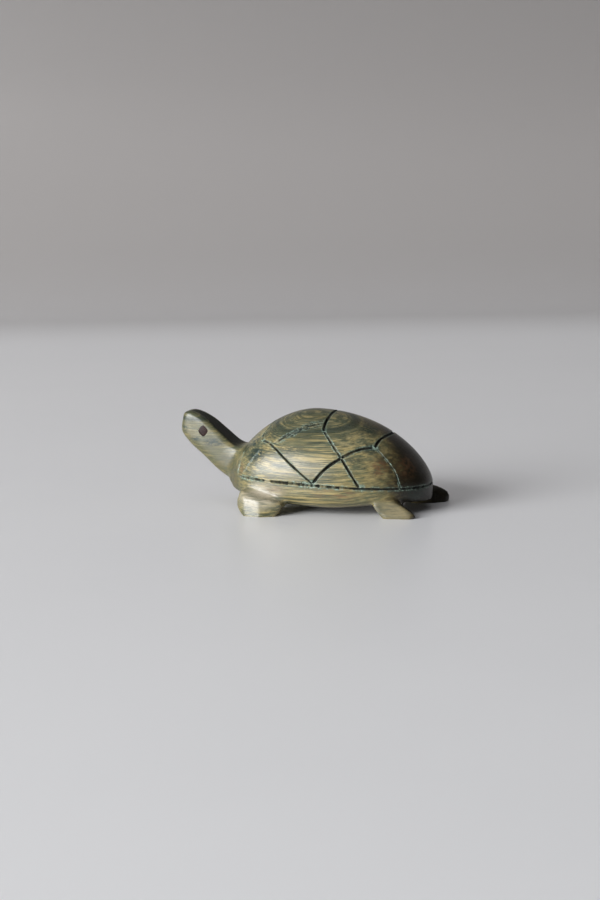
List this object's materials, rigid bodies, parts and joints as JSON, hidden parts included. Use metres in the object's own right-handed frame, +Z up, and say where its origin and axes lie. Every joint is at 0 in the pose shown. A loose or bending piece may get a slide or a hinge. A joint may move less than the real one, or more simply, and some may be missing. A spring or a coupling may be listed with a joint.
{
  "type": "carved wooden turtle figurine",
  "caption": "Small polished wood turtle carved in one piece, with a raised head, inlaid eyes and a domed shell scored into scutes, standing on flat feet.",
  "frame": {"origin": "middle of the figurine's footprint as seen from above, on the plane of the soles", "axes": "-X points the way the head faces, -Y to the turtle's left side, +Z up from the soles to the shell"},
  "size_m": [0.0881, 0.0494, 0.0324],
  "materials": {
    "polished_verawood": "olive green and tan streaked verawood, hand rubbed to a soft polish, browner at the rear of the shell",
    "dark_inlay": "dark purplish brown peg, sanded flush and polished"
  },
  "bodies": {
    "root": {"carved_turtle": "polished_verawood", "eye_left": "dark_inlay", "eye_right": "dark_inlay"}
  },
  "joints": []
}
